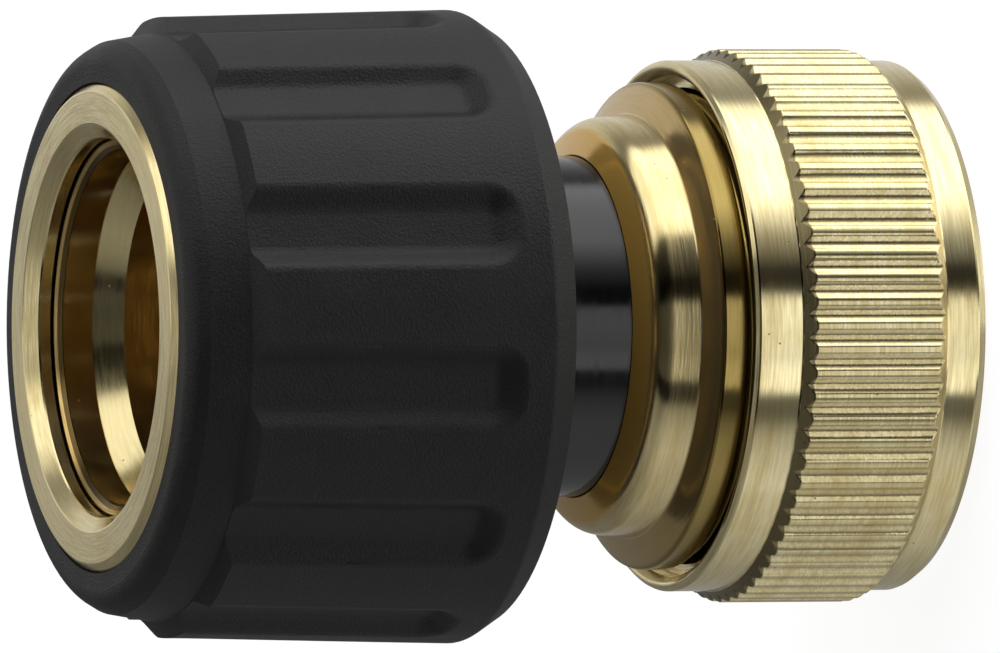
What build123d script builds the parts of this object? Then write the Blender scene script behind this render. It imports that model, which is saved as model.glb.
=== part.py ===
from build123d import *
import os
from math import atan, cos, hypot, radians, sin, sqrt, tan

# Garden hose quick connector with a ball lock. All sizes are in millimetres. The axis is Z. The
# origin is the centre of the clamp nut's rear end, on which the connector stands, and +Z runs
# towards the mouth that takes the nipple.
os.makedirs("parts", exist_ok=True)


def axis_distance(point):
    return hypot(point.X, point.Y)


# Stack along the axis, from the nut's rear end up to the collar
flange_sunk = 0.1
tail_height = 5.4
neck_gap = 5.9

# Clearances and fits
press_gap = 0.02
running_gap = 0.1
nose_gap = 0.12
seat_gap = 0.1
ball_gap = 0.05
thread_gap = 0.15
flange_gap = 0.25
rim_gap = 0.35

# Socket body
bore_radius = 8.85
mouth_flare = 0.95
mouth_depth = 2.1
mouth_cone_length = 1.5
mouth_chamfer = 0.35
nose_wall = 0.45
nose_setback = 1.5
seal_radius = 7.7
seal_length = 5.2
seal_lead = 0.8
socket_depth = 17.3
spring_core_step = 0.35
floor_thickness = 0.6
spigot_wall = 2.4
spigot_thread_step = 0.6
spigot_thread_length = 3.2

# Ball lock
ball_radius = 1.5
ball_count = 6
ball_reach = 0.75
ball_setback = 8.3
ball_phase = 0
lip_cone_depth = 0.45
collar_stroke = 3.5
ramp_run = 0.6
land_length = 1.9

# Front ring
ring_width = 3.03
ring_thickness = 1.41
ring_inner_chamfer_width = 0.78
ring_inner_chamfer_depth = 0.7
ring_outer_chamfer = 0.45
skirt_inset = 0.8
skirt_wall = 0.5
skirt_length = 2.4

# Collar shell and its guide ring
shell_wall = 1.0
shell_setback = 0.2
guide_seat_wall = 0.7
guide_length = 1.5
guide_width = 3.22
guide_chamfer = 0.3
key_groove_depth = 0.6
key_groove_width = 2.0
key_groove_setback = 5.0

# Rubber grip: each rise is measured from the shell's outside, each depth from the mouth
grip_front_setback = 0.3
bead_start_rise = 1.0
bead_rise = 2.1
bead_depth = 1.0
crease_rise = 2.32
crease_depth = 1.37
band_rise = 2.7
band_depth = 3.6
shoulder_rise = 3.6
shoulder_depth = 4.2
grip_rise = 4.0
grip_tail_rise = 3.1
grip_tail_length = 1.4
grip_tail_round = 0.5
groove_count = 12
groove_phase = 18.8
groove_floor_rise = 0.05
groove_floor_slope = 1.5
groove_floor_width = 2.4
groove_flank_angle = 57
groove_tail = 4.35
groove_end_round = 0.5
groove_root_round = 1.0
groove_rim_round = 0.8

# Neck sleeve
neck_wall = 1.08
neck_flange_thickness = 1.0
neck_seat_depth = 1.5

# Release spring
wire_radius = 0.5
wire_sides = 8
spring_turns = 4
end_coil_gap = 0.06

# Tail body
lip_width = 2.3
lip_slope_angle = 19.4
waist_round = 1.4
flare_drop = 3.25
flare_height = 0.6
flare_width = 1.75
flange_edge = 0.12
flange_step = 0.5
hub_length = 6.0
hub_chamfer = 0.5
hub_wall = 2.7
web_thickness = 1.6
washer_thickness = 1.2
washer_width = 2.6
barb_radius = 6.6
barb_land_length = 3.6
barb_ridge_count = 3
barb_ridge_pitch = 1.9
barb_ridge_height = 0.55
barb_tip_drop = 0.7
barb_tip_length = 0.9
tail_waterway_radius = 4.6

# Clamp nut
nut_rim_wall = 0.85
nut_rim_chamfer = 0.25
nut_mouth_depth = 1.3
nut_mouth_chamfer = 0.4
knurl_count = 72
knurl_rise = 0.62
knurl_depth = 0.42
knurl_crest_share = 0.3
nut_front_band = 2.75
nut_rear_band = 2.4
nut_end_chamfer_height = 0.55
nut_end_chamfer_depth = 0.4
nut_cone_step = 0.35
nut_cone_height = 4.6
nut_cone_taper = 2.1
hose_hole_step = 0.3
hose_hole_length = 1.4
hose_hole_chamfer = 0.5

# Clamp collet
collet_shoulder_length = 1.5
collet_ring_length = 1.5
collet_ring_step = 0.7
collet_finger_wall = 0.9
collet_slot_count = 8
collet_slot_width = 1.2
collet_tooth_count = 3
collet_tooth_height = 0.3

# Heights of the main faces
cone_low_z = hose_hole_length
cone_top_z = cone_low_z + nut_cone_height
hub_end_z = cone_top_z + collet_shoulder_length
flange_z = hub_end_z + hub_length
nut_length = flange_z + flange_sunk
lip_z = flange_z + tail_height
collar_z = lip_z + neck_gap
guide_top_z = collar_z + shell_setback + guide_length
neck_flange_rear_z = guide_top_z + seat_gap
shoulder_z = neck_flange_rear_z + neck_flange_thickness
seal_floor_z = shoulder_z + floor_thickness
nose_z = seal_floor_z + socket_depth
mouth_z = nose_z + nose_setback

# Heights inside the collar and the tail
cage_top_z = mouth_z - ring_thickness - collar_stroke - seat_gap
ball_z = mouth_z - ball_setback
neck_seat_z = lip_z - neck_seat_depth
spigot_end_z = neck_seat_z - spigot_thread_length

# The ramp lifts each ball clear of the bore over the collar's stroke
ball_centre_radius = bore_radius - ball_reach + ball_radius
ball_hole_radius = ball_radius + ball_gap
ball_lip_radius = sqrt(ball_radius**2 - ball_reach**2) + ball_gap
ramp_slope = (ball_reach + ball_gap) / collar_stroke
ramp_at_ball = ball_centre_radius + ball_hole_radius / cos(atan(ramp_slope))
land_z = ball_z - ramp_run
land_radius = ramp_at_ball - ramp_slope * ramp_run
cage_radius = land_radius - running_gap
spring_core_radius = cage_radius - spring_core_step
spring_top_z = land_z - land_length

# Radii that one piece hands on to the next, from the bore outwards
mouth_radius = bore_radius + mouth_flare
nose_radius = mouth_radius + nose_wall
ring_bore_radius = nose_radius + nose_gap
ring_radius = ring_bore_radius + ring_width
skirt_radius = ring_radius - skirt_inset
chamber_radius = ring_radius - shell_wall
guide_seat_radius = ring_radius - guide_seat_wall
neck_radius = guide_seat_radius - guide_width - running_gap
spigot_radius = neck_radius - neck_wall - running_gap
spigot_thread_radius = spigot_radius - spigot_thread_step
socket_waterway_radius = spigot_thread_radius - spigot_wall
waist_radius = neck_radius + lip_width
flange_radius = waist_radius + flare_width
hub_radius = flange_radius - flange_step
pocket_radius = hub_radius - hub_wall
nut_band_radius = flange_radius + rim_gap + nut_rim_wall
nut_thread_radius = hub_radius + thread_gap
nut_cone_top_radius = nut_thread_radius - nut_cone_step
nut_cone_low_radius = nut_cone_top_radius - nut_cone_taper
hose_hole_radius = nut_cone_low_radius - hose_hole_step

# Turned sections are drawn as (radius, height) and spun about the axis

# Socket body: mouth, bore, seal bore and spigot
with BuildPart() as socket_body:
    with BuildSketch(Plane.XZ):
        with BuildLine():
            Polyline(
                (mouth_radius + mouth_chamfer, nose_z),
                (nose_radius, nose_z),
                (nose_radius, cage_top_z),
                (cage_radius, cage_top_z),
                (cage_radius, spring_top_z),
                (spring_core_radius, spring_top_z - cage_radius + spring_core_radius),
                (spring_core_radius, shoulder_z),
                (spigot_radius, shoulder_z),
                (spigot_radius, neck_seat_z),
                (spigot_thread_radius, neck_seat_z),
                (spigot_thread_radius, spigot_end_z),
                (socket_waterway_radius, spigot_end_z),
                (socket_waterway_radius, seal_floor_z),
                (seal_radius, seal_floor_z),
                (seal_radius, seal_floor_z + seal_length),
                (bore_radius, seal_floor_z + seal_length + seal_lead),
                (bore_radius, nose_z - mouth_depth - mouth_cone_length),
                (mouth_radius, nose_z - mouth_depth),
                (mouth_radius, nose_z - mouth_chamfer),
                close=True,
            )
        make_face()
    revolve(axis=Axis.Z)
    # Each ball sits in a radial hole whose tapered lip keeps it out of the bore
    with Locations((0, 0, ball_z)):
        with PolarLocations(bore_radius + lip_cone_depth, ball_count, start_angle=ball_phase):
            Cylinder(
                ball_hole_radius,
                cage_radius,
                rotation=(0, 90, 0),
                align=(Align.CENTER, Align.CENTER, Align.MIN),
                mode=Mode.SUBTRACT,
            )
        with PolarLocations(bore_radius, ball_count, start_angle=ball_phase):
            Cone(
                2 * ball_lip_radius - ball_hole_radius,
                ball_hole_radius,
                2 * lip_cone_depth,
                rotation=(0, 90, 0),
                mode=Mode.SUBTRACT,
            )
socket_body.part.label = "socket_body"
export_step(socket_body.part, "parts/socket_body.step")

# Lock balls, one file each because each slides on its own
for ball_index in range(ball_count):
    with BuildPart() as lock_ball:
        with Locations((0, 0, ball_z)):
            with PolarLocations(
                ball_centre_radius, 1, start_angle=ball_phase + ball_index * 360 / ball_count
            ):
                Sphere(ball_radius)
    ball_name = f"lock_ball_{ball_index + 1}"
    lock_ball.part.label = ball_name
    export_step(lock_ball.part, f"parts/{ball_name}.step")

# Front ring: a chamfered face with a skirt that is pressed into the shell
with BuildPart() as front_ring:
    ring_rear_z = mouth_z - ring_thickness
    with BuildSketch(Plane.XZ):
        with BuildLine():
            Polyline(
                (ring_bore_radius + ring_inner_chamfer_width, mouth_z),
                (ring_radius - ring_outer_chamfer, mouth_z),
                (ring_radius, mouth_z - ring_outer_chamfer),
                (ring_radius, ring_rear_z),
                (skirt_radius, ring_rear_z),
                (skirt_radius, ring_rear_z - skirt_length),
                (skirt_radius - skirt_wall, ring_rear_z - skirt_length),
                (skirt_radius - skirt_wall, ring_rear_z),
                (ring_bore_radius, ring_rear_z),
                (ring_bore_radius, mouth_z - ring_inner_chamfer_depth),
                close=True,
            )
        make_face()
    revolve(axis=Axis.Z)
front_ring.part.label = "front_ring"
export_step(front_ring.part, "parts/front_ring.step")

# Collar shell: seat for the ring, ball ramp, land, spring chamber and seat for the guide ring
skirt_seat_z = ring_rear_z - skirt_length
shell_rear_z = collar_z + shell_setback
key_top_z = mouth_z - key_groove_setback
with BuildPart() as collar_shell:
    with BuildSketch(Plane.XZ):
        with BuildLine():
            Polyline(
                (skirt_radius + press_gap, ring_rear_z),
                (ring_radius, ring_rear_z),
                (ring_radius, key_top_z),
                (ring_radius - key_groove_depth, key_top_z),
                (ring_radius - key_groove_depth, key_top_z - key_groove_width),
                (ring_radius, key_top_z - key_groove_width),
                (ring_radius, shell_rear_z),
                (guide_seat_radius + press_gap, shell_rear_z),
                (guide_seat_radius + press_gap, guide_top_z),
                (chamber_radius, guide_top_z),
                (chamber_radius, spring_top_z),
                (land_radius, spring_top_z),
                (land_radius, land_z),
                (ramp_at_ball + ramp_slope * (skirt_seat_z - ball_z), skirt_seat_z),
                (skirt_radius + press_gap, skirt_seat_z),
                close=True,
            )
        make_face()
    revolve(axis=Axis.Z)
collar_shell.part.label = "collar_shell"
export_step(collar_shell.part, "parts/collar_shell.step")

# Rear guide ring: runs on the neck, and its front face stops on the neck's flange
with BuildPart() as rear_guide_ring:
    with BuildSketch(Plane.XZ):
        with BuildLine():
            Polyline(
                (neck_radius + running_gap, guide_top_z),
                (guide_seat_radius, guide_top_z),
                (guide_seat_radius, shell_rear_z),
                (neck_radius + running_gap + guide_chamfer, shell_rear_z),
                (neck_radius + running_gap, shell_rear_z + guide_chamfer),
                close=True,
            )
        make_face()
    revolve(axis=Axis.Z)
rear_guide_ring.part.label = "rear_guide_ring"
export_step(rear_guide_ring.part, "parts/rear_guide_ring.step")

# One finger groove: a floor that rises with the pads, flared sides, a rear end with round corners
bead_start_radius = ring_radius + bead_start_rise
bead_radius = ring_radius + bead_rise
band_radius = ring_radius + band_rise
shoulder_radius = ring_radius + shoulder_rise
grip_radius = ring_radius + grip_rise
groove_floor_radius = band_radius + groove_floor_rise
groove_end_z = collar_z + groove_tail
groove_front_z = mouth_z - crease_depth
band_rear_z = mouth_z - band_depth
groove_plane = Plane(
    (groove_floor_radius, 0, band_rear_z),
    x_dir=(0, 1, 0),
    z_dir=(cos(radians(groove_floor_slope)), 0, sin(radians(groove_floor_slope))),
)
with BuildPart() as finger_groove:
    with BuildSketch(groove_plane) as groove_floor:
        with Locations((0, groove_end_z - band_rear_z)):
            Rectangle(
                groove_floor_width,
                groove_front_z - groove_end_z,
                align=(Align.CENTER, Align.MIN),
            )
        fillet(groove_floor.vertices().group_by(Axis.Z)[0], groove_end_round)
    extrude(amount=2 * (grip_radius - groove_floor_radius), taper=-groove_flank_angle)
    fillet(finger_groove.faces().sort_by(Axis.X)[0].edges(), groove_root_round)

# Rubber grip: bead, plain band and twelve pads with grooves between them
grip_bore_radius = ring_radius + press_gap
with BuildPart() as rubber_grip:
    grip_front_z = mouth_z - grip_front_setback
    grip_tail_z = collar_z + grip_tail_length
    with BuildSketch(Plane.XZ) as grip_profile:
        with BuildLine():
            Line((grip_bore_radius, grip_front_z), (bead_start_radius, grip_front_z))
            TangentArc(
                (bead_start_radius, grip_front_z), (bead_radius, mouth_z - bead_depth), tangent=(1, 0)
            )
            Polyline(
                (bead_radius, mouth_z - bead_depth),
                (ring_radius + crease_rise, mouth_z - crease_depth),
                (band_radius, band_rear_z),
                (shoulder_radius, mouth_z - shoulder_depth),
                (grip_radius, grip_tail_z),
                (ring_radius + grip_tail_rise, collar_z),
                (grip_bore_radius, collar_z),
                (grip_bore_radius, key_top_z - key_groove_width + press_gap),
                (grip_bore_radius - key_groove_depth, key_top_z - key_groove_width + press_gap),
                (grip_bore_radius - key_groove_depth, key_top_z - press_gap),
                (grip_bore_radius, key_top_z - press_gap),
                (grip_bore_radius, grip_front_z),
            )
        make_face()
        tail_corner = grip_profile.vertices().sort_by_distance((grip_radius, grip_tail_z))[0]
        fillet(tail_corner, grip_tail_round)
    revolve(axis=Axis.Z)
    with PolarLocations(0, groove_count, start_angle=groove_phase):
        add(finger_groove.part, mode=Mode.SUBTRACT)
    # The rims where the pads meet a groove are round: they stand above the shoulder at both ends
    pad_edges = rubber_grip.edges(Select.LAST).filter_by(
        lambda edge: axis_distance(edge @ 0.5) > shoulder_radius + press_gap
        and min(axis_distance(edge @ 0), axis_distance(edge @ 1)) > shoulder_radius - press_gap
    )
    fillet(pad_edges, groove_rim_round)
rubber_grip.part.label = "rubber_grip"
export_step(rubber_grip.part, "parts/rubber_grip.step")

# Neck sleeve: a glossy tube with a flange that carries the spring
with BuildPart() as neck_sleeve:
    with BuildSketch(Plane.XZ):
        with BuildLine():
            Polyline(
                (spigot_radius + running_gap, shoulder_z),
                (chamber_radius - flange_gap, shoulder_z),
                (chamber_radius - flange_gap, neck_flange_rear_z),
                (neck_radius, neck_flange_rear_z),
                (neck_radius, neck_seat_z),
                (spigot_radius + running_gap, neck_seat_z),
                close=True,
            )
        make_face()
    revolve(axis=Axis.Z)
neck_sleeve.part.label = "neck_sleeve"
export_step(neck_sleeve.part, "parts/neck_sleeve.step")

# Release spring: closed end coils, so that it stands square between its two seats
spring_radius = (chamber_radius + spring_core_radius) / 2
end_pitch = 2 * wire_radius + end_coil_gap
spring_low_z = shoulder_z + wire_radius + end_coil_gap
spring_high_z = spring_top_z - wire_radius - end_coil_gap
middle_height = spring_high_z - spring_low_z - 2 * end_pitch
middle_pitch = middle_height / (spring_turns - 2)
with BuildPart() as release_spring:
    with BuildLine() as spring_path:
        Helix(end_pitch, end_pitch, spring_radius, center=(0, 0, spring_low_z))
        Helix(middle_pitch, middle_height, spring_radius, center=(0, 0, spring_low_z + end_pitch))
        Helix(end_pitch, end_pitch, spring_radius, center=(0, 0, spring_high_z - end_pitch))
    # The wire is drawn with eight sides, which keeps the count of faces low
    with BuildSketch(Plane((spring_radius, 0, spring_low_z), z_dir=(0, 1, 0))):
        RegularPolygon(wire_radius, wire_sides)
    sweep(path=spring_path.wires()[0], is_frenet=True)
release_spring.part.label = "release_spring"
export_step(release_spring.part, "parts/release_spring.step")

# Tail body: lip, waist, flare, flange, threaded hub, hose pocket and barb
waist_corner_z = lip_z - lip_width * tan(radians(lip_slope_angle))
washer_seat_z = spigot_end_z - washer_thickness
pocket_floor_z = washer_seat_z - web_thickness
barb_land_end_z = pocket_floor_z - barb_land_length
barb_tip_z = barb_land_end_z - barb_ridge_count * barb_ridge_pitch
barb_end_z = barb_tip_z - barb_tip_length
with BuildPart() as tail_body:
    barb_points = []
    for ridge in range(barb_ridge_count):
        crest_z = barb_land_end_z - ridge * barb_ridge_pitch
        barb_points.append((barb_radius, crest_z))
        barb_points.append((barb_radius - barb_ridge_height, crest_z - barb_ridge_pitch))
    with BuildSketch(Plane.XZ) as tail_profile:
        with BuildLine():
            Polyline(
                (neck_radius + press_gap, lip_z),
                (waist_radius, waist_corner_z),
                (waist_radius, lip_z - flare_drop),
                (flange_radius - flange_edge, lip_z - flare_drop - flare_height),
                (flange_radius, lip_z - flare_drop - flare_height - flange_edge),
                (flange_radius, flange_z + flange_edge),
                (flange_radius - flange_edge, flange_z),
                (hub_radius, flange_z),
                (hub_radius, hub_end_z + hub_chamfer),
                (hub_radius - hub_chamfer, hub_end_z),
                (pocket_radius, hub_end_z),
                (pocket_radius, pocket_floor_z),
                (barb_radius, pocket_floor_z),
                *barb_points,
                (barb_radius, barb_tip_z),
                (barb_radius - barb_tip_drop, barb_end_z),
                (tail_waterway_radius, barb_end_z),
                (tail_waterway_radius, washer_seat_z),
                (spigot_thread_radius + press_gap, washer_seat_z),
                (spigot_thread_radius + press_gap, neck_seat_z),
                (neck_radius + press_gap, neck_seat_z),
                close=True,
            )
        make_face()
        waist_corner = tail_profile.vertices().sort_by_distance((waist_radius, waist_corner_z))[0]
        fillet(waist_corner, waist_round)
    revolve(axis=Axis.Z)
tail_body.part.label = "tail_body"
export_step(tail_body.part, "parts/tail_body.step")

# Tail seal: flat rubber washer between the spigot's end and the tail
with BuildPart() as tail_seal:
    with BuildSketch(Plane.XY.offset(washer_seat_z)):
        Circle(spigot_thread_radius)
        Circle(spigot_thread_radius - washer_width, mode=Mode.SUBTRACT)
    extrude(amount=washer_thickness)
tail_seal.part.label = "tail_seal"
export_step(tail_seal.part, "parts/tail_seal.step")

# Clamp nut: a toothed blank trimmed to the turned section, so that the bevels cut the teeth
knurl_radius = nut_band_radius + knurl_rise
knurl_high = nut_length - nut_front_band
knurl_pitch = 360 / knurl_count
with BuildPart() as clamp_nut:
    tooth_points = []
    for tooth in range(knurl_count):
        for radius, share in (
            (knurl_radius, -knurl_crest_share / 2),
            (knurl_radius, knurl_crest_share / 2),
            (knurl_radius - knurl_depth, 1 / 2),
        ):
            angle = radians((tooth + share) * knurl_pitch)
            tooth_points.append((radius * cos(angle), radius * sin(angle)))
    with BuildSketch(Plane.XY):
        with BuildLine():
            Polyline(*tooth_points, close=True)
        make_face()
    extrude(amount=nut_length)
    with BuildSketch(Plane.XZ):
        with BuildLine():
            Polyline(
                (flange_radius + rim_gap + nut_mouth_chamfer, nut_length),
                (nut_band_radius - nut_rim_chamfer, nut_length),
                (nut_band_radius, nut_length - nut_rim_chamfer),
                (nut_band_radius, knurl_high),
                (knurl_radius, knurl_high - knurl_rise),
                (knurl_radius, nut_rear_band + knurl_rise),
                (nut_band_radius, nut_rear_band),
                (nut_band_radius, nut_end_chamfer_height),
                (nut_band_radius - nut_end_chamfer_depth, 0),
                (hose_hole_radius + hose_hole_chamfer, 0),
                (hose_hole_radius, hose_hole_chamfer),
                (hose_hole_radius, cone_low_z),
                (nut_cone_low_radius, cone_low_z),
                (nut_cone_top_radius, cone_top_z),
                (nut_thread_radius, cone_top_z),
                (nut_thread_radius, nut_length - nut_mouth_depth),
                (flange_radius + rim_gap, nut_length - nut_mouth_depth),
                (flange_radius + rim_gap, nut_length - nut_mouth_chamfer),
                close=True,
            )
        make_face()
    revolve(axis=Axis.Z, mode=Mode.INTERSECT)
clamp_nut.part.label = "clamp_nut"
export_step(clamp_nut.part, "parts/clamp_nut.step")

# Clamp collet: a ring with tapered fingers whose inner teeth grip the hose
cone_slope = nut_cone_taper / nut_cone_height
collet_bore_radius = nut_cone_low_radius - seat_gap - collet_finger_wall
collet_ring_bore_radius = collet_bore_radius + collet_ring_step
collet_top_z = hub_end_z - seat_gap
collet_root_z = collet_top_z - collet_ring_length
collet_tip_z = cone_low_z + seat_gap
tooth_run = (collet_root_z - collet_tip_z) / collet_tooth_count
with BuildPart() as clamp_collet:
    finger_points = []
    for tooth in range(collet_tooth_count):
        crest_z = collet_tip_z + tooth * tooth_run
        finger_points.append((collet_bore_radius + collet_tooth_height, crest_z))
        finger_points.append((collet_bore_radius, crest_z + tooth_run))
    with BuildSketch(Plane.XZ):
        with BuildLine():
            Polyline(
                (collet_ring_bore_radius, collet_top_z),
                (nut_cone_top_radius - seat_gap, collet_top_z),
                (nut_cone_top_radius - seat_gap, cone_top_z),
                (nut_cone_low_radius - seat_gap + cone_slope * seat_gap, collet_tip_z),
                *finger_points,
                (collet_ring_bore_radius, collet_root_z),
                close=True,
            )
        make_face()
    revolve(axis=Axis.Z)
    with BuildSketch(Plane.XY.offset(collet_tip_z)):
        with PolarLocations(0, collet_slot_count):
            Rectangle(
                nut_cone_top_radius, collet_slot_width, align=(Align.MIN, Align.CENTER)
            )
    extrude(amount=collet_root_z - collet_tip_z, mode=Mode.SUBTRACT)
clamp_collet.part.label = "clamp_collet"
export_step(clamp_collet.part, "parts/clamp_collet.step")

print("socket length", round(mouth_z, 3), "ball lift per mm of collar travel", round(ramp_slope, 5))
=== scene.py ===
# %% [markdown]
# # Garden hose quick connector
# A brass socket under a sliding grip of black rubber takes the hose nipple, and a knurled nut at the
# other end holds the hose. The packed CAD model comes in as a fixed frame, which knows where every
# piece is and how it moves. Here the pieces get their finish, and those whose curves show in the light
# get a finer mesh of the same form. No CAD piece is moved or changed, so everything still fits.

# %% Load the frame
from math import atan2, cos, degrees, floor, hypot, pi, radians, sin
from types import SimpleNamespace

import bmesh
import bpy
from mathutils import Matrix, Vector


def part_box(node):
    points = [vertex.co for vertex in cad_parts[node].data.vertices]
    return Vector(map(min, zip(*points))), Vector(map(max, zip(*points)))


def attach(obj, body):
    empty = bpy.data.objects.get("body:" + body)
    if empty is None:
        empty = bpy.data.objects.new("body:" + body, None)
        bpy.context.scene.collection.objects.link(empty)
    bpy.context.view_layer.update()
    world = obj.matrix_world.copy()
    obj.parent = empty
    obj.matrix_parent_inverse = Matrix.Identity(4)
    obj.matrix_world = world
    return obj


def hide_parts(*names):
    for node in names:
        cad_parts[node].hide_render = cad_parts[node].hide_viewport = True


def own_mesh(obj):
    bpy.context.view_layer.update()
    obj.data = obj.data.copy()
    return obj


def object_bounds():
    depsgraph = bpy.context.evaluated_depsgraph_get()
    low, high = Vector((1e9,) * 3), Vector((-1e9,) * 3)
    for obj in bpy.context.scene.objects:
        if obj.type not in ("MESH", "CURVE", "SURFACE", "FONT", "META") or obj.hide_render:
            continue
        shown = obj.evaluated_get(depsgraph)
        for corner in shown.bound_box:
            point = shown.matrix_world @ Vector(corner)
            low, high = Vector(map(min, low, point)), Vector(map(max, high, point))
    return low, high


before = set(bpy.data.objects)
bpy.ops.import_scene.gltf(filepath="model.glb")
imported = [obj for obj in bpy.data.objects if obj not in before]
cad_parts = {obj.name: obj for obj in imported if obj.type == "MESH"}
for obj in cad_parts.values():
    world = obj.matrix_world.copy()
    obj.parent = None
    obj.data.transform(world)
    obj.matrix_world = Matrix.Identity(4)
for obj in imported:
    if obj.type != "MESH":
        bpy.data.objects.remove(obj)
scene = bpy.context.scene
scene.view_settings.view_transform = "Standard"
cad_low, cad_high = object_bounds()
MM = 0.001
print("CAD box in mm", [round(v / MM, 2) for v in (*cad_low, *cad_high)])

# %% [markdown]
# ## The camera
# The photograph was taken from far off with a long lens, looking at the mouth from a little to one
# side. The part stands on its nut here, so the camera is rolled by a quarter turn: up in the picture
# is +X, and the mouth is on the left. A camera can be nudged by eye until the picture fits. A few
# measured numbers do it in one go: the pixel of the mouth's centre, the pixels in a millimetre there,
# and the two angles by which the axis leans out of the picture and across it.

# %% Camera
PHOTO_WIDTH, PHOTO_HEIGHT = 1000, 653
MOUTH_PIXEL = (90.2, 327.8)
PIXELS_PER_MM = 18.3
AXIS_YAW, AXIS_PITCH = radians(20.456), radians(-0.175)
CAMERA_DISTANCE = 1.5
SENSOR_WIDTH = 36

focal_pixels = PIXELS_PER_MM * CAMERA_DISTANCE / MM
camera_data = bpy.data.cameras.new("camera")
camera_data.sensor_width = SENSOR_WIDTH
camera_data.lens = focal_pixels * SENSOR_WIDTH / PHOTO_WIDTH
camera_data.clip_end = 10
camera = bpy.data.objects.new("camera", camera_data)
scene.collection.objects.link(camera)
scene.camera = camera

# In the camera's own axes (right, up, back): where the part's axis points, and where the mouth is
axis_in_view = Vector(
    (-cos(AXIS_YAW) * cos(AXIS_PITCH), sin(AXIS_PITCH), sin(AXIS_YAW) * cos(AXIS_PITCH))
)
mouth_in_view = Vector(
    (
        (MOUTH_PIXEL[0] - PHOTO_WIDTH / 2) / PIXELS_PER_MM * MM,
        (PHOTO_HEIGHT / 2 - MOUTH_PIXEL[1]) / PIXELS_PER_MM * MM,
        -CAMERA_DISTANCE,
    )
)
up_in_view = (Vector((0, 1, 0)) - axis_in_view * axis_in_view.y).normalized()
side_in_view = axis_in_view.cross(up_in_view)
view_to_part = Matrix((up_in_view, side_in_view, axis_in_view))
mouth = Vector((0, 0, cad_high.z))
camera.matrix_world = (
    Matrix.Translation(mouth - view_to_part @ mouth_in_view) @ view_to_part.to_4x4()
)
to_camera = view_to_part @ Vector((0, 0, 1))
camera_place = [round(v, 3) for v in camera.matrix_world.translation]
print("lens", round(camera_data.lens), "mm, camera at", camera_place)

# %% [markdown]
# ## Shader sums
# A finish is a sum of patterns. In Blender each sum is a node, and nodes can be added and linked one
# by one, but then the sum is hard to read. This class wraps one socket of a node tree, so that
# Python's own signs add the Math nodes, and `make` adds any other node.

# %% A socket that can be calculated with
class Signal:
    """One output of a node tree, which Python's signs turn into Math nodes."""

    def __init__(self, tree, socket=None):
        self.tree, self.socket = tree, socket

    def make(self, kind, settings=None, inputs=None, output=0):
        """Any node: its type, its settings, the values or links of its sockets, and the output."""
        node = self.tree.nodes.new("ShaderNode" + kind)
        for name, value in (settings or {}).items():
            if name == "stops":
                stops = node.color_ramp.elements
                while len(stops) < len(value):
                    stops.new(1)
                for stop, (position, level) in zip(stops, value):
                    stop.position, stop.color = position, (level, level, level, 1)
            else:
                setattr(node, name, value)
        for key, value in (inputs or {}).items():
            if isinstance(value, Signal):
                self.tree.links.new(value.socket, node.inputs[key])
            else:
                node.inputs[key].default_value = value
        return Signal(self.tree, node.outputs[output])

    def twin(self, output):
        """Another output of the same node."""
        return Signal(self.tree, self.socket.node.outputs[output])

    def feed(self, node, name):
        """Links this to a named socket of a node."""
        self.tree.links.new(self.socket, node.inputs[name])

    def sum(self, operation, *values):
        return self.make("Math", {"operation": operation}, dict(enumerate(values)))

    def __add__(self, other):
        return self.sum("ADD", self, other)

    def __sub__(self, other):
        return self.sum("SUBTRACT", self, other)

    def __rsub__(self, other):
        return self.sum("SUBTRACT", other, self)

    def __mul__(self, other):
        return self.sum("MULTIPLY", self, other)

    def __truediv__(self, other):
        return self.sum("DIVIDE", self, other)

    def __pow__(self, other):
        return self.sum("POWER", self, other)

    def __abs__(self):
        return self.sum("ABSOLUTE", self)

    __radd__, __rmul__ = __add__, __mul__

    def rise(self, low, high):
        """0 below low, 1 above high, and smooth between them."""
        return self.make(
            "MapRange",
            {"interpolation_type": "SMOOTHSTEP"},
            {"Value": self, "From Min": low, "From Max": high},
        )

    def blend(self, first, second):
        """The first colour where this is 0, the second where it is 1."""
        return self.make("Mix", {"data_type": "RGBA"}, {0: self, 6: first, 7: second}, output=2)

    def dot(self, direction):
        inputs = {0: self, 1: direction}
        return self.make("VectorMath", {"operation": "DOT_PRODUCT"}, inputs, output="Value")


print("a Signal knows", ", ".join(name for name in vars(Signal) if name[0] != "_"))

# %% [markdown]
# ## What finishes share
# Every finish starts with a material whose patterns read Object coordinates, so that they stay on the
# piece when it moves. Three patterns come back: grain from a noise, round specks from a Voronoi
# texture's cells, and a bump that turns either into relief. An image would need the piece unwrapped
# first, and these need nothing.

# %% Helpers for finishes
def new_finish(name):
    """A material, its shader and the place on the piece as a vector in metres."""
    material = bpy.data.materials.new(name)
    material.use_nodes = True
    shader = material.node_tree.nodes["Principled BSDF"]
    place = Signal(material.node_tree).make("TexCoord", output="Object")
    print("finish", name)
    return SimpleNamespace(material=material, shader=shader, place=place)


def grain(place, per_metre, detail):
    """Noise with about that many lumps in a metre, from 0 to 1."""
    return place.make("TexNoise", {}, {"Vector": place, "Scale": per_metre, "Detail": detail})


def specks(place, per_metre, radius, share):
    """Round specks of that radius in metres, in that share of the cells."""
    cell = place.make("TexVoronoi", {}, {"Vector": place, "Scale": per_metre}, output="Distance")
    size = radius * per_metre
    chosen = cell.twin("Color").rise(1 - share, 1.02 - share)
    return (1 - cell.rise(0.5 * size, size)) * chosen


def bump(finish, height, depth):
    """Relief from a height of 0 to 1, with that depth in metres."""
    inputs = {"Strength": 1.0, "Distance": depth, "Height": height}
    height.make("Bump", {}, inputs).feed(finish.shader, "Normal")


def opaque(colour):
    return (*colour, 1)


print("finishes can have", ", ".join(helper.__name__ for helper in (grain, specks, bump)))

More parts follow.
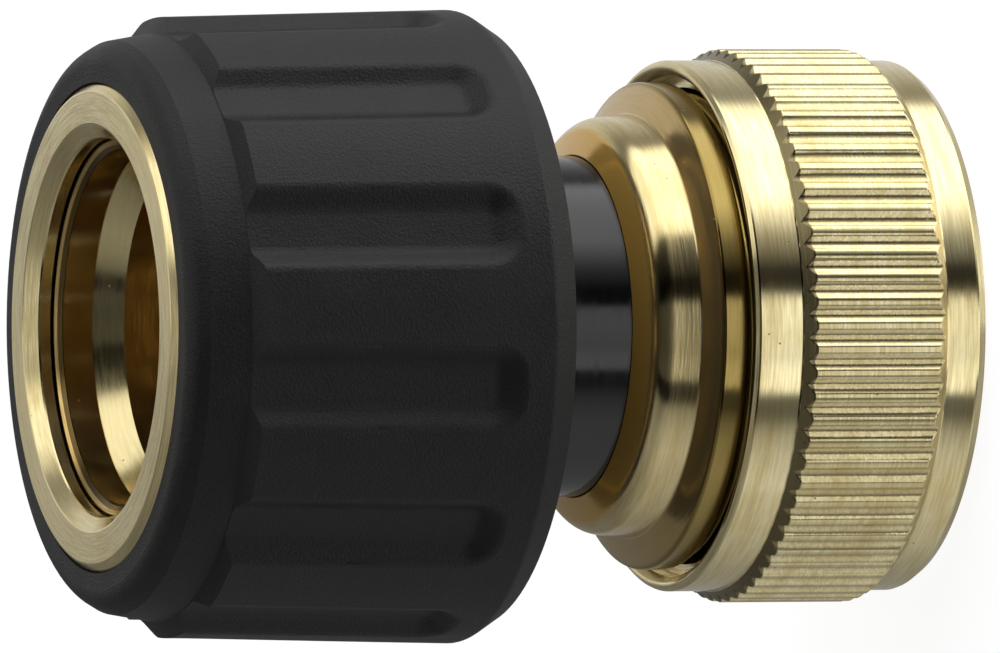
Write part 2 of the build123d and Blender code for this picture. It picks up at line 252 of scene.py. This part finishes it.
# %% [markdown]
# ## Tool marks
# Every brass piece comes off a lathe, and the tool leaves fine rings round the axis. Noise draws them
# if it hardly changes around the axis but quickly along it and outwards. So the direction from the
# axis is two of its numbers, the height the third and the radius the fourth. The rings then run round
# a cylinder and lie as circles on a flat face, with no unwrapping.

# %% Rings round the axis
def tool_marks(place, per_metre, bends):
    """Rings from 0 to 1, and the radius and height. A high number of bends makes them short."""
    x = place.make("SeparateXYZ", {}, {"Vector": place}, output="X")
    y, height = x.twin("Y"), x.twin("Z")
    radius = (x * x + y * y) ** 0.5
    around = {"X": x / radius * bends, "Y": y / radius * bends, "Z": height * per_metre}
    rings = {
        "Vector": place.make("CombineXYZ", {}, around),
        "W": radius * per_metre,
        "Scale": 1.0,
        "Detail": 2.0,
        "Roughness": 0.6,
    }
    return place.make("TexNoise", {"noise_dimensions": "4D"}, rings), radius, height


print("tool marks ready")

# %% [markdown]
# ## Turned brass
# The bare brass has a fine set of rings over a broad one, a few dark pores, and a faint tarnish. The
# rings change the colour and the gloss a little. Anisotropy draws the highlight out across them,
# which gives the long soft streaks of a lathe finish. Its quarter turn of rotation sets it to the
# axis, because an unset tangent runs round the piece.

# %% Brass from the lathe
FINE_MARKS, BROAD_MARKS = (7500, 6), (1250, 1.5)
PORES_PER_METRE, PORE_RADIUS, PORE_SHARE = 1100, 0.07 * MM, 0.35
TARNISH_PER_METRE, TARNISH_TINT = 260, (0.9, 0.82, 0.62)
PORE_COLOUR = (0.16, 0.10, 0.035)
MARK_DEPTH = 0.006 * MM


def turned_brass(name, dark, light, roughness):
    """A finish that also keeps its colour, gloss, radius and height, to be tinted further."""
    finish = new_finish(name)
    fine, finish.radius, finish.height = tool_marks(finish.place, *FINE_MARKS)
    broad = tool_marks(finish.place, *BROAD_MARKS)[0]
    marks = (fine * 0.65 + broad * 0.35).rise(0.3, 0.7)
    pores = specks(finish.place, PORES_PER_METRE, PORE_RADIUS, PORE_SHARE)
    tarnish = grain(finish.place, TARNISH_PER_METRE, 4.0).rise(0.45, 0.75)
    tarnished = [level * tint for level, tint in zip(dark, TARNISH_TINT)]
    metal = (tarnish * 0.35).blend(marks.blend(opaque(dark), opaque(light)), opaque(tarnished))
    finish.colour = (pores * 0.7).blend(metal, opaque(PORE_COLOUR))
    finish.gloss = marks * -0.09 + pores * 0.3 + tarnish * 0.05 + roughness
    finish.colour.feed(finish.shader, "Base Color")
    finish.gloss.feed(finish.shader, "Roughness")
    bump(finish, fine - pores, MARK_DEPTH)
    finish.shader.inputs["Metallic"].default_value = 1.0
    finish.shader.inputs["Anisotropic"].default_value = 0.8
    finish.shader.inputs["Anisotropic Rotation"].default_value = 0.25
    return finish


ring_brass = turned_brass("turned_brass_ring", (0.72, 0.595, 0.30), (0.88, 0.765, 0.44), 0.24)

# %% [markdown]
# ## Brass of the nut
# The knurling wheel presses its teeth and leaves them duller than the turned bands. Their grooves are
# a little deeper in tone, as painted shade, and the bevel that ends them at the front is painted
# nearly brown, as the dark reflection it shows. Each zone could have a material of its own, on faces
# picked by hand. A mask from the radius and the height does the same on any mesh, and its edges can
# be soft.

# %% Brass of the nut
BRASS_DARK, BRASS_LIGHT = (0.70, 0.575, 0.28), (0.87, 0.78, 0.48)
# Painted shade in the knurl's grooves and a painted dark reflection on its front bevel
GROOVE_SHADE_COLOUR, BEVEL_DARK_REFLECTION_COLOUR = (0.45, 0.33, 0.12), (0.13, 0.105, 0.05)
TOOTH_DULLNESS = 0.12

nut_brass = turned_brass("turned_brass_nut", BRASS_DARK, BRASS_LIGHT, 0.21)
in_teeth = nut_brass.radius.rise(14.645 * MM, 14.665 * MM)
below_crest = 1 - nut_brass.radius.rise(15.24 * MM, 15.26 * MM)
# Masks for the bevel's painted dark reflection and the grooves' painted shade
bevel_reflection_zone = in_teeth * nut_brass.height.rise(10.20 * MM, 10.26 * MM) * below_crest
groove_shade_zone = in_teeth * (1 - nut_brass.radius.rise(14.85 * MM, 15.05 * MM)) * (1 - bevel_reflection_zone)
# The grooves' painted shade, then the bevel's painted dark reflection
groove_shaded_colour = (groove_shade_zone * 0.3).blend(nut_brass.colour, opaque(GROOVE_SHADE_COLOUR))
(bevel_reflection_zone * 0.85).blend(groove_shaded_colour, opaque(BEVEL_DARK_REFLECTION_COLOUR)).feed(nut_brass.shader, "Base Color")
(in_teeth * TOOTH_DULLNESS + nut_brass.gloss).feed(nut_brass.shader, "Roughness")
print("the nut's teeth are tinted")

# %% [markdown]
# ## Brass inside the mouth
# Inside, the brass mirrors mostly brass, and that warm, browner reflection is painted into its colour.
# The cone that guides the nipple catches the light, and that is painted on it as a yellow highlight.
# The small chamfer at the nose is painted dark as shade, but for a thin bright line at its outer edge.

# %% Brass inside the mouth
# Painted shade and warm reflection inside, a painted highlight on the cone and painted shade on the
# chamfer
INSIDE_SHADED_DARK, INSIDE_SHADED_LIGHT = (0.48, 0.31, 0.10), (0.70, 0.53, 0.24)
CONE_HIGHLIGHT_COLOUR, CHAMFER_SHADE_COLOUR = (0.70, 0.61, 0.33), (0.10, 0.065, 0.022)

shaded_inside_brass = turned_brass("shaded_turned_brass_inside", INSIDE_SHADED_DARK, INSIDE_SHADED_LIGHT, 0.24)
depth_in = shaded_inside_brass.height
# Painted shade on the nose chamfer
nose_chamfer_shade = depth_in.rise(45.08 * MM, 45.12 * MM) * (1 - depth_in.rise(45.34 * MM, 45.38 * MM))
# A painted highlight on the guide cone
cone_highlight_zone = depth_in.rise(41.83 * MM, 41.88 * MM) * (1 - depth_in.rise(43.33 * MM, 43.38 * MM))
mouth_colour = (cone_highlight_zone * 0.85).blend(shaded_inside_brass.colour, opaque(CONE_HIGHLIGHT_COLOUR))
mouth_colour = (nose_chamfer_shade * 0.95).blend(mouth_colour, opaque(CHAMFER_SHADE_COLOUR))
mouth_colour.feed(shaded_inside_brass.shader, "Base Color")
print("the mouth's cone and chamfer are tinted")

# %% [markdown]
# ## Brass of the tail
# The tail is turned from the same bar, but its sloping front lip is painted a deep orange, and so in a
# weaker way is the flare behind the waist. They face into the object, where warm light goes back and
# forth between brass and brass, and that reflection is painted into their colour. The flange is painted
# dark as shade, and the waist a little deeper than the nut as a painted dark reflection. The lip
# and the flare are also less metallic, because they are duller than their shape would show.

# %% Brass of the tail
# Painted warm reflections on the lip and the flare, painted shade on the flange, a painted dark
# reflection on the waist
LIP_REFLECTION_COLOUR, FLANGE_SHADE_COLOUR = (0.95, 0.57, 0.12), (0.28, 0.20, 0.055)
WAIST_REFLECTION_COLOUR, FLARE_REFLECTION_COLOUR = (0.60, 0.43, 0.15), (0.55, 0.35, 0.11)

tail_brass = turned_brass("turned_brass_tail", BRASS_DARK, BRASS_LIGHT, 0.21)
out, up = tail_brass.radius, tail_brass.height
on_slope = out.rise(9.2 * MM, 9.5 * MM) * (1 - out.rise(10.7 * MM, 11.1 * MM))
lip_reflection_zone = up.rise(17.94 * MM, 18.12 * MM) * on_slope
# Painted shade on the flange
flange_shade_zone = (1 - up.rise(15.12 * MM, 15.22 * MM)) * out.rise(13.1 * MM, 13.3 * MM)
# A painted dark reflection on the waist
waist_reflection_zone = up.rise(15.66 * MM, 15.76 * MM) * (1 - lip_reflection_zone)
flare_reflection_zone = (1 - up.rise(15.62 * MM, 15.72 * MM)) * up.rise(15.00 * MM, 15.08 * MM)
tail_colour = tail_brass.colour
# Each zone blends in its painted reflection or shade
for zone, share, colour in (
    (lip_reflection_zone, 0.95, LIP_REFLECTION_COLOUR),
    (flange_shade_zone, 0.95, FLANGE_SHADE_COLOUR),
    (waist_reflection_zone, 0.3, WAIST_REFLECTION_COLOUR),
    (flare_reflection_zone, 0.7, FLARE_REFLECTION_COLOUR),
):
    tail_colour = (zone * share).blend(tail_colour, opaque(colour))
tail_colour.feed(tail_brass.shader, "Base Color")
(1 - lip_reflection_zone * 0.6 - flare_reflection_zone * 0.25).feed(tail_brass.shader, "Metallic")
print("the tail has four tinted zones")

# %% [markdown]
# ## Rubber and moulded plastic
# The grip is moulded in a soft black rubber. Its mould was blasted, so it has a fine even grain and
# hardly any gloss, and a few pale specks of dust sit on it. The guide ring, the collet and the seal
# are plainer mouldings. The grain could be real relief in the mesh, but at a twentieth of a millimetre
# a bump looks the same and costs nothing.

# %% Moulded finishes
DUST_PER_METRE, DUST_RADIUS, DUST_COLOUR = 1500, 0.05 * MM, (0.1, 0.1, 0.095)


def moulded(name, low, high, roughness, per_metre, depth, dust_share=0.0):
    """Two close colours in soft clouds, an even grain, and dust on a share of the surface."""
    finish = new_finish(name)
    clouds = grain(finish.place, 320, 4.0).rise(0.3, 0.7)
    texture = grain(finish.place, per_metre, 3.0)
    colour = (clouds * 0.5 + texture.rise(0.3, 0.7) * 0.5).blend(opaque(low), opaque(high))
    if dust_share:
        dust = specks(finish.place, DUST_PER_METRE, DUST_RADIUS, dust_share)
        colour = (dust * 0.6).blend(colour, opaque(DUST_COLOUR))
    colour.feed(finish.shader, "Base Color")
    (clouds * 0.08 + texture * 0.06 + (roughness - 0.07)).feed(finish.shader, "Roughness")
    bump(finish, texture, depth)
    return finish


grip_rubber = moulded(
    "moulded_grip_rubber", (0.007, 0.007, 0.0066), (0.020, 0.020, 0.0193), 0.54, 7000, 0.05 * MM, 0.25
)
grip_rubber.shader.inputs["Specular IOR Level"].default_value = 0.34
seal_rubber = moulded(
    "washer_rubber", (0.016, 0.016, 0.016), (0.024, 0.023, 0.022), 0.66, 4000, 0.01 * MM
)
guide_plastic = moulded(
    "black_guide_plastic", (0.010, 0.010, 0.010), (0.016, 0.016, 0.016), 0.42, 5000, 0.006 * MM
)
collet_plastic = moulded(
    "white_collet_plastic", (0.70, 0.69, 0.64), (0.78, 0.77, 0.73), 0.42, 2500, 0.008 * MM
)

# %% [markdown]
# ## The glossy neck
# The neck is a hard black plastic that was turned too. Its rings are so fine that they show only where
# a soft box is mirrored in it, so they change the gloss more than the colour.

# %% Glossy plastic
NECK_MARKS = (3200, 3)
NECK_DARK, NECK_LIGHT = (0.006, 0.006, 0.006), (0.013, 0.013, 0.012)

neck_plastic = new_finish("gloss_neck_plastic")
neck_rings = tool_marks(neck_plastic.place, *NECK_MARKS)[0]
neck_rings.blend(opaque(NECK_DARK), opaque(NECK_LIGHT)).feed(neck_plastic.shader, "Base Color")
(neck_rings.rise(0.35, 0.75) * 0.1 + 0.1).feed(neck_plastic.shader, "Roughness")
bump(neck_plastic, neck_rings, 0.004 * MM)
print("the neck has faint rings")

# %% [markdown]
# ## Steel
# The balls are ground and polished until they mirror. The spring is drawn wire, which is duller. Both
# are the same finish with other numbers.

# %% Steel finishes
def steel(name, low, high, roughness, per_metre):
    finish = new_finish(name)
    texture = grain(finish.place, per_metre, 3.0).rise(0.3, 0.7)
    texture.blend(opaque(low), opaque(high)).feed(finish.shader, "Base Color")
    (texture * 0.07 + roughness).feed(finish.shader, "Roughness")
    bump(finish, texture, 0.002 * MM)
    finish.shader.inputs["Metallic"].default_value = 1.0
    return finish


ball_steel = steel("polished_ball_steel", (0.62, 0.62, 0.63), (0.74, 0.74, 0.75), 0.07, 900)
wire_steel = steel("drawn_wire_steel", (0.36, 0.36, 0.37), (0.56, 0.56, 0.57), 0.26, 3000)

# %% [markdown]
# ## From a node to an outline
# A turned piece is one outline spun round the axis. Its CAD node is only as fine as packing needs, and
# subdividing it would keep its flats. So the outline is cut out of the node with a plane through the
# axis, which keeps every size. Its sharp corners are broken by a few hundredths of a millimetre, as a
# turner does with a file, because a real edge always catches a thin line of light.

# %% Cut an outline
SAME_PLACE = 0.001 * MM
STRAIGHT = radians(2)
SHARP_CORNER = radians(20)
EDGE_BREAK = 0.06 * MM


def turn_at(corner):
    """How far an outline turns at one of its corners."""
    first, second = (edge.other_vert(corner).co - corner.co for edge in corner.link_edges)
    return pi - first.angle(second)


def outline_of(node, angle, edge_break=EDGE_BREAK):
    """A node's outline in the half plane y = 0, x > 0, cut at that angle round the axis."""
    outline = bmesh.new()
    outline.from_mesh(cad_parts[node].data)
    bmesh.ops.remove_doubles(outline, verts=outline.verts, dist=SAME_PLACE)
    turned = Matrix.Rotation(-angle, 3, "Z")
    bmesh.ops.rotate(outline, cent=(0, 0, 0), matrix=turned, verts=outline.verts)
    everything = outline.verts[:] + outline.edges[:] + outline.faces[:]
    cut = bmesh.ops.bisect_plane(
        outline, geom=everything, plane_co=(0, 0, 0), plane_no=(0, 1, 0)
    )["geom_cut"]
    line = {
        part for part in cut
        if isinstance(part, bmesh.types.BMEdge) and min(end.co.x for end in part.verts) > 0
    }
    spare_edges = [edge for edge in outline.edges if edge not in line]
    bmesh.ops.delete(outline, geom=outline.faces[:], context="FACES_ONLY")
    bmesh.ops.delete(outline, geom=spare_edges, context="EDGES")
    spare_ends = [end for end in outline.verts if not end.link_edges]
    bmesh.ops.delete(outline, geom=spare_ends, context="VERTS")
    bmesh.ops.remove_doubles(outline, verts=outline.verts, dist=2 * SAME_PLACE)
    straight = [corner for corner in outline.verts if turn_at(corner) < STRAIGHT]
    bmesh.ops.dissolve_verts(outline, verts=straight)
    sharp = [corner for corner in outline.verts if turn_at(corner) > SHARP_CORNER]
    bmesh.ops.bevel(
        outline, geom=sharp, affect="VERTICES", offset=edge_break, offset_type="OFFSET",
        segments=1, profile=0.5, clamp_overlap=True, material=-1,
    )
    print(node, "outline of", len(outline.verts), "points,", len(sharp), "corners broken")
    return outline


print("edges are broken by", round(EDGE_BREAK / MM, 2), "mm")

# %% [markdown]
# ## From an outline to a piece
# Spinning the outline draws one strip of faces for each of its edges. Long edges are divided first, so
# that the faces stay near to square and a thread has points to move. The new object then rides on the
# body of the node that it stands for, and hides that node. Its faces are shaded smooth, but for the
# edges where the surface turns by more than the crease angle, which have to stay crisp.

# %% Divide, spin and place
CREASE = radians(18)
ON_WALL = 0.02 * MM
SHORTEST_THREAD = 1 * MM


def divide(outline, longest, longest_in_thread=None, thread_radius=None):
    """Cuts the edges that are longer than that, and finer along a wall that gets a thread."""
    for edge in outline.edges[:]:
        length = edge.calc_length()
        middle = (edge.verts[0].co + edge.verts[1].co) / 2
        on_wall = thread_radius and abs(middle.x - thread_radius) < ON_WALL
        in_thread = on_wall and length > SHORTEST_THREAD
        cuts = int(length / (longest_in_thread if in_thread else longest))
        if cuts:
            bmesh.ops.subdivide_edges(outline, edges=[edge], cuts=cuts)


def spun(outline, columns):
    """Spins an outline once round the axis and closes it."""
    bmesh.ops.spin(
        outline, geom=outline.verts[:] + outline.edges[:], cent=(0, 0, 0), axis=(0, 0, 1),
        dvec=(0, 0, 0), angle=2 * pi, steps=columns, use_merge=True, use_normal_flip=False,
        use_duplicate=False,
    )
    bmesh.ops.remove_doubles(outline, verts=outline.verts, dist=SAME_PLACE)
    bmesh.ops.recalc_face_normals(outline, faces=outline.faces)
    return outline


def as_piece(mesh, name, body, slot, finish, *nodes):
    """Makes the mesh an object that rides on a body and stands for the nodes."""
    for face in mesh.faces:
        face.smooth = True
    for edge in mesh.edges:
        edge.smooth = edge.calc_face_angle(0) < CREASE
    data = bpy.data.meshes.new(name)
    mesh.to_mesh(data)
    mesh.free()
    data.materials.append(finish.material)
    piece = bpy.data.objects.new(name, data)
    scene.collection.objects.link(piece)
    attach(piece, body)
    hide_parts(*nodes)
    print(name, len(data.polygons), "faces")
    return piece


print("edges stay crisp above", round(degrees(CREASE)), "degrees")

# %% [markdown]
# ## The front ring, the guide ring and the neck
# These three are plain turnings: an outline and one spin each. The cut is made a few degrees off the
# node's own seam, where two rows of its points could fall on one line.

# %% Plain turnings
OFF_SEAM = radians(7.3)
ROUND_COLUMNS = 240
for node, body, slot, finish, edge_break in (
    ("front_ring", "collar", "turned_brass", ring_brass, EDGE_BREAK),
    ("rear_guide_ring", "collar", "black_plastic", guide_plastic, EDGE_BREAK),
    ("neck_sleeve", "socket", "gloss_black_plastic", neck_plastic, 0.08 * MM),
):
    plain_outline = outline_of(node, OFF_SEAM, edge_break)
    divide(plain_outline, 0.8 * MM)
    as_piece(spun(plain_outline, ROUND_COLUMNS), "turned_" + node, body, slot, finish, node)

# %% [markdown]
# ## The thread
# The tail's hub carries a coarse thread that the nut runs on. The CAD leaves it smooth, because a
# helix has many faces. It could be a swept shape cut from the wall, but a thread is only the same
# groove at a height that climbs with the angle. So each point of the spun wall moves in or out by the
# groove's depth at its height less its share of a turn. The groove fades at both ends, as it does
# where the cutter lifts.

# %% A groove that climbs
THREAD_PITCH = 2.0 * MM
THREAD_DEPTH = 0.42 * MM
THREAD_FADE = 0.7 * MM
GROOVE_HALF_WIDTH, GROOVE_FLANK = 0.4, 0.28


def cut_thread(mesh, wall_radius, low, high, phase, sign):
    """Moves a spun wall in (-1) or out (+1) along a right-handed groove."""
    moved = 0
    for point in mesh.verts:
        radius = hypot(point.co.x, point.co.y)
        if abs(radius - wall_radius) > ON_WALL / 2 or not low < point.co.z < high:
            continue
        share_of_turn = atan2(point.co.y, point.co.x) / (2 * pi)
        turns = point.co.z / THREAD_PITCH - share_of_turn + phase
        off_centre = abs(turns - floor(turns) - 0.5)
        groove = min(1, max(0, (GROOVE_HALF_WIDTH - off_centre) / GROOVE_FLANK))
        fade = min(1, (point.co.z - low) / THREAD_FADE, (high - point.co.z) / THREAD_FADE)
        scale = (radius + sign * THREAD_DEPTH * groove * fade) / radius
        point.co.x *= scale
        point.co.y *= scale
        moved += 1
    print("thread cut with", moved, "points")


print("thread of", round(THREAD_PITCH / MM, 2), "mm pitch")

# %% [markdown]
# ## The tail
# The tail is the waisted brass piece between the neck and the nut: a sloping lip, a waist, a flare and
# a flange, and inside the nut the threaded hub and the barb for the hose. In the photograph the
# reflections on the waist lean a little, so its wall isn't quite straight. Its outline tapers here by
# a sixth of a millimetre towards the lip, and the lip takes up the difference down to its inner edge.

# %% Tail body
HUB_RADIUS = 12.926 * MM
HUB_END, FLANGE_UNDERSIDE = 7.6 * MM, 13.5 * MM
WAIST_LOW, WAIST_HIGH = 15.66 * MM, 17.1 * MM
WAIST_RADIUS, LIP_RADIUS = 11.677 * MM, 9.4 * MM
WAIST_TAPER = 0.16 * MM

tail_outline = outline_of("tail_body", OFF_SEAM)
divide(tail_outline, 0.9 * MM, 0.19 * MM, HUB_RADIUS)
for corner in tail_outline.verts:
    height_share = min(1, (corner.co.z - WAIST_LOW) / (WAIST_HIGH - WAIST_LOW))
    width_share = (corner.co.x - LIP_RADIUS) / (WAIST_RADIUS - LIP_RADIUS)
    if height_share > 0 and width_share > 0:
        corner.co.x -= WAIST_TAPER * height_share * width_share
tail = spun(tail_outline, ROUND_COLUMNS)
cut_thread(tail, HUB_RADIUS, HUB_END, FLANGE_UNDERSIDE, 0.0, -1)
as_piece(tail, "turned_tail_body", "socket", "turned_brass", tail_brass, "tail_body")

# %% [markdown]
# ## The clamp nut
# The nut is the showpiece: a band, a straight knurl of 72 teeth between two bevels, and a second band.
# Teeth could be cut one by one with a wedge, which leaves hundreds of seams. Here the outline is cut
# through the top of a tooth and spun with eight columns to a tooth, so that the mesh is whole.

# %% Turn the nut
TOOTH_COUNT = 72
# Where the columns of a tooth stand, in shares of the tooth, and their depth, in shares of a groove
TOOTH_COLUMNS = (0, 0.10, 0.155, 0.21, 0.5, 0.79, 0.845, 0.90)
TOOTH_DEPTHS = (0, 0, 0.047, 0.147, 1, 0.147, 0.047, 0)
CREST_ANGLE = radians(0.2)
NUT_BORE_RADIUS = 13.079 * MM
NUT_BORE_LOW, NUT_BORE_HIGH = 6.0 * MM, 12.3 * MM

nut_columns = TOOTH_COUNT * len(TOOTH_COLUMNS)
nut_outline = outline_of("clamp_nut", CREST_ANGLE)
divide(nut_outline, 1.2 * MM, 0.24 * MM, NUT_BORE_RADIUS)
nut = spun(nut_outline, nut_columns)
cut_thread(nut, NUT_BORE_RADIUS, NUT_BORE_LOW, NUT_BORE_HIGH, 0.5, 1)

# %% [markdown]
# The columns now move round to where a tooth needs them. Each point above the bands moves in by the
# depth of the groove at its place, so the crests stay flat and the grooves meet in a sharp V. On a
# bevel the point also slides along the bevel's own slope, which draws the pointed ends that a
# knurling wheel leaves.

# %% Knurl the nut
KNURL_DEPTH = 0.42 * MM
KNURL_RISE = 0.62 * MM
BAND_RADIUS = 14.63 * MM
KNURL_LOW, KNURL_HIGH = 3.02 * MM, 10.23 * MM

for point in nut.verts:
    radius = hypot(point.co.x, point.co.y)
    height_share = min(1, (radius - BAND_RADIUS) / KNURL_RISE)
    if height_share < 0.01:
        continue
    column = round(atan2(point.co.y, point.co.x) / (2 * pi) * nut_columns)
    tooth, place_in_tooth = divmod(column, len(TOOTH_COLUMNS))
    angle = (tooth + TOOTH_COLUMNS[place_in_tooth]) / TOOTH_COUNT * 2 * pi
    depth = height_share * KNURL_DEPTH * TOOTH_DEPTHS[place_in_tooth]
    along = 2 * (point.co.z - KNURL_LOW) / (KNURL_HIGH - KNURL_LOW) - 1
    slide = depth * min(1, max(-1, along))
    point.co = ((radius - depth) * cos(angle), (radius - depth) * sin(angle), point.co.z + slide)
as_piece(nut, "knurled_clamp_nut", "nut", "turned_brass", nut_brass, "clamp_nut")

# %% [markdown]
# ## The release spring
# The spring is round wire wound in four turns, closed at both ends. A circle is spun round the axis
# and lifted a little with each step: slowly for the end turns, faster for the two between.

# %% Release spring
WIRE_RADIUS, WIRE_ROOM = 0.49 * MM, 0.5 * MM
WIRE_SIDES = 16
SPRING_STEPS = 48
END_LIFT = 1.06 * MM

spring_low, spring_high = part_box("release_spring")
spring_radius = spring_high.x - WIRE_ROOM
first_z, last_z = spring_low.z + WIRE_ROOM, spring_high.z - WIRE_ROOM
middle_lift = (last_z - first_z - 2 * END_LIFT) / 2

spring = bmesh.new()
ring = bmesh.ops.create_circle(
    spring, segments=WIRE_SIDES, radius=WIRE_RADIUS, cap_ends=False
)["verts"]
bmesh.ops.rotate(spring, cent=(0, 0, 0), matrix=Matrix.Rotation(pi / 2, 3, "X"), verts=ring)
bmesh.ops.translate(spring, vec=(spring_radius, 0, first_z), verts=ring)
wire_end = spring.verts[:] + spring.edges[:]
for lift, turns in ((END_LIFT, 1), (middle_lift, 2), (END_LIFT, 1)):
    wire_end = bmesh.ops.spin(
        spring, geom=wire_end, cent=(0, 0, 0), axis=(0, 0, 1), dvec=(0, 0, lift / SPRING_STEPS),
        angle=2 * pi * turns, steps=SPRING_STEPS * turns, use_merge=False,
        use_normal_flip=False, use_duplicate=False,
    )["geom_last"]
open_ends = [edge for edge in spring.edges if edge.is_boundary]
bmesh.ops.holes_fill(spring, edges=open_ends, sides=0)
bmesh.ops.recalc_face_normals(spring, faces=spring.faces)
coil = as_piece(spring, "coiled_release_spring", "socket", "spring_steel", wire_steel, "release_spring")
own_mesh(coil)
print("spring from", round(first_z / MM, 2), "to", round(last_z / MM, 2), "mm")

# %% [markdown]
# ## The pieces that keep their CAD mesh
# The socket body with its ball holes, the shell, the rubber grip, the collet, the seal and the balls
# have the right shape already. They could be drawn again too, but nothing would look better for it,
# so they only take their finish.

# %% Finishes of the kept nodes
kept_finishes = {
    "socket_body": shaded_inside_brass,
    "collar_shell": shaded_inside_brass,
    "rubber_grip": grip_rubber,
    "tail_seal": seal_rubber,
    "clamp_collet": collet_plastic,
    **{f"lock_ball_{number}": ball_steel for number in range(1, 7)},
}
for name, finish in kept_finishes.items():
    for material_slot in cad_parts[name].material_slots:
        material_slot.material = finish.material
    print(name, "takes", finish.material.name)

# %% [markdown]
# ## The studio
# Polished metal shows what stands around it. The photograph's brass has wide pale bands with narrow
# dark ones between, which come from long soft boxes above and in front of the object. Lamps could
# stand there, but a long box that lies along the axis is just a band of the world. So the angle of a
# ray round the axis picks a level from a ramp, which sets each band's edges exactly.

# %% Bands of light
LIGHT_PEAK = 2.1
# The angle above the line to the camera, in degrees, and the light that comes from there
LIGHT_BANDS = (
    (-180, 0.30), (-150, 0.28), (-136, 0.30), (-120, 0.38), (-90, 0.57), (-72, 0.68), (-58, 0.60),
    (-48, 0.42), (-40, 0.14), (-31, 0.14), (-28, 1.40), (-20, 1.35), (-14, 1.05), (0, 1.25),
    (11, 1.25), (15, 0.03), (25, 0.03), (32, 0.22), (40, 0.50), (50, 1.30), (60, 2.10),
    (105, 2.10), (110, 1.40), (115, 0.36), (122, 0.32), (136, 0.52), (150, 0.68), (180, 0.72),
)
toward_camera = Vector((to_camera.x, to_camera.y, 0)).normalized()
above_camera = Vector((0, 0, 1)).cross(toward_camera)

world = bpy.data.worlds.new("studio")
world.use_nodes = True
scene.world = world
world.node_tree.nodes.remove(world.node_tree.nodes["Background"])
sky = Signal(world.node_tree)
direction = sky.make("TexCoord", output="Generated")
band_angle = sky.sum("ARCTAN2", direction.dot(above_camera), direction.dot(toward_camera))
bands = band_angle.make(
    "ValToRGB",
    {"stops": [(angle / 360 + 0.5, level / LIGHT_PEAK) for angle, level in LIGHT_BANDS]},
    {"Fac": band_angle / (2 * pi) + 0.5},
)
print("world with", len(LIGHT_BANDS), "stops of light")

# %% [markdown]
# The boxes don't go on for ever, and the masks here end them. High in front, on the mouth's side, the
# studio is dark between them, which keeps the mouth brown. Low on that side they are a little weaker,
# and so they are above the floor's height. One more small box hangs straight over the mouth.

# %% Ends of the bands
FRONT_DIM, LOW_DIM, RAISED_DIM = 0.93, 0.35, 0.3
FRONT_CENTRE = 0.07
OVERHEAD_LIGHT = 0.8

steepness = direction.dot((0, 0, 1))
high = steepness.rise(-0.27, -0.17)
in_front = 1 - abs(band_angle - FRONT_CENTRE).rise(0.74, 0.86)
lower_side = 1 - band_angle.rise(-0.9, -0.6)
raised = steepness.rise(0.0, 0.35) * (1 - abs(band_angle).rise(2.2, 2.6))
overhead = steepness.rise(0.9, 0.97)
boxes = bands * (1 - high * in_front * FRONT_DIM) * (1 - high * lower_side * LOW_DIM)
boxes = boxes * (1 - raised * RAISED_DIM) * (1 - overhead)
boxes = boxes + overhead * (OVERHEAD_LIGHT / LIGHT_PEAK)
print("boxes dimmed by", FRONT_DIM, LOW_DIM, "and", RAISED_DIM, "at their ends")

# %% [markdown]
# The camera itself sees a plain white world. So does a reflection that looks straight at the backdrop
# behind the object, because a real metal edge there shows the same white.

# %% White backdrop
ray = sky.make("LightPath", output="Is Camera Ray")
mirrored = ray.sum("MAXIMUM", ray.twin("Is Glossy Ray"), ray.twin("Is Transmission Ray"))
straight_behind = direction.dot(-to_camera).rise(0.992, 0.999)
white_share = ray.sum("MAXIMUM", ray, mirrored * straight_behind)
studio_light = sky.make("Background", {}, {"Color": boxes, "Strength": LIGHT_PEAK})
white_backdrop = sky.make("Background", {}, {"Color": (1, 1, 1, 1), "Strength": 1.0})
world_light = sky.make("MixShader", {}, {0: white_share, 1: studio_light, 2: white_backdrop})
world_light.feed(world.node_tree.nodes["World Output"], "Surface")
print("backdrop white at strength 1")

# %% [markdown]
# ## The floor
# The object stands on a plain pale floor. To the camera the floor is mostly its own white, and the
# rest is the real light on it, so that the object's soft shadow stays. It is hidden from the rays that
# bounce off the object, because the photograph's brass shows soft boxes there and its rubber gets no
# light from below. Seen from underneath the floor is clear, so that the nut's end can be looked at.

# %% Floor
FLOOR_HALF = 1.5
FLOOR_GLOW, GLOW_SHARE = 1.44, 0.62

floor_mesh = bmesh.new()
bmesh.ops.create_grid(floor_mesh, x_segments=1, y_segments=1, size=FLOOR_HALF)
floor_data = bpy.data.meshes.new("floor")
floor_mesh.to_mesh(floor_data)
floor_mesh.free()
floor_object = bpy.data.objects.new("floor", floor_data)
scene.collection.objects.link(floor_object)
floor_object.visible_glossy = False
floor_object.visible_diffuse = False

floor_paint = bpy.data.materials.new("floor_white")
floor_paint.use_nodes = True
floor_nodes = floor_paint.node_tree.nodes
floor_nodes.remove(floor_nodes["Principled BSDF"])
surface = Signal(floor_paint.node_tree)
floor_ray = surface.make("LightPath", output="Is Camera Ray")
through_object = floor_ray.sum(
    "MAXIMUM", floor_ray.twin("Is Glossy Ray"), floor_ray.twin("Is Transmission Ray")
)
seen = floor_ray.sum("MAXIMUM", floor_ray, through_object)
lit = surface.make("BsdfDiffuse", {}, {"Color": (0.8, 0.8, 0.8, 1)})
glow = surface.make("Emission", {}, {"Color": (1, 1, 1, 1), "Strength": FLOOR_GLOW})
front = surface.make("MixShader", {}, {0: seen * GLOW_SHARE, 1: lit, 2: glow})
from_below = surface.make("NewGeometry", output="Backfacing")
clear = surface.make("BsdfTransparent")
both = surface.make("MixShader", {}, {0: from_below, 1: front, 2: clear})
both.feed(floor_nodes["Material Output"], "Surface")
floor_data.materials.append(floor_paint)
print("floor", 2 * FLOOR_HALF, "m wide")

# %% [markdown]
# ## Finish
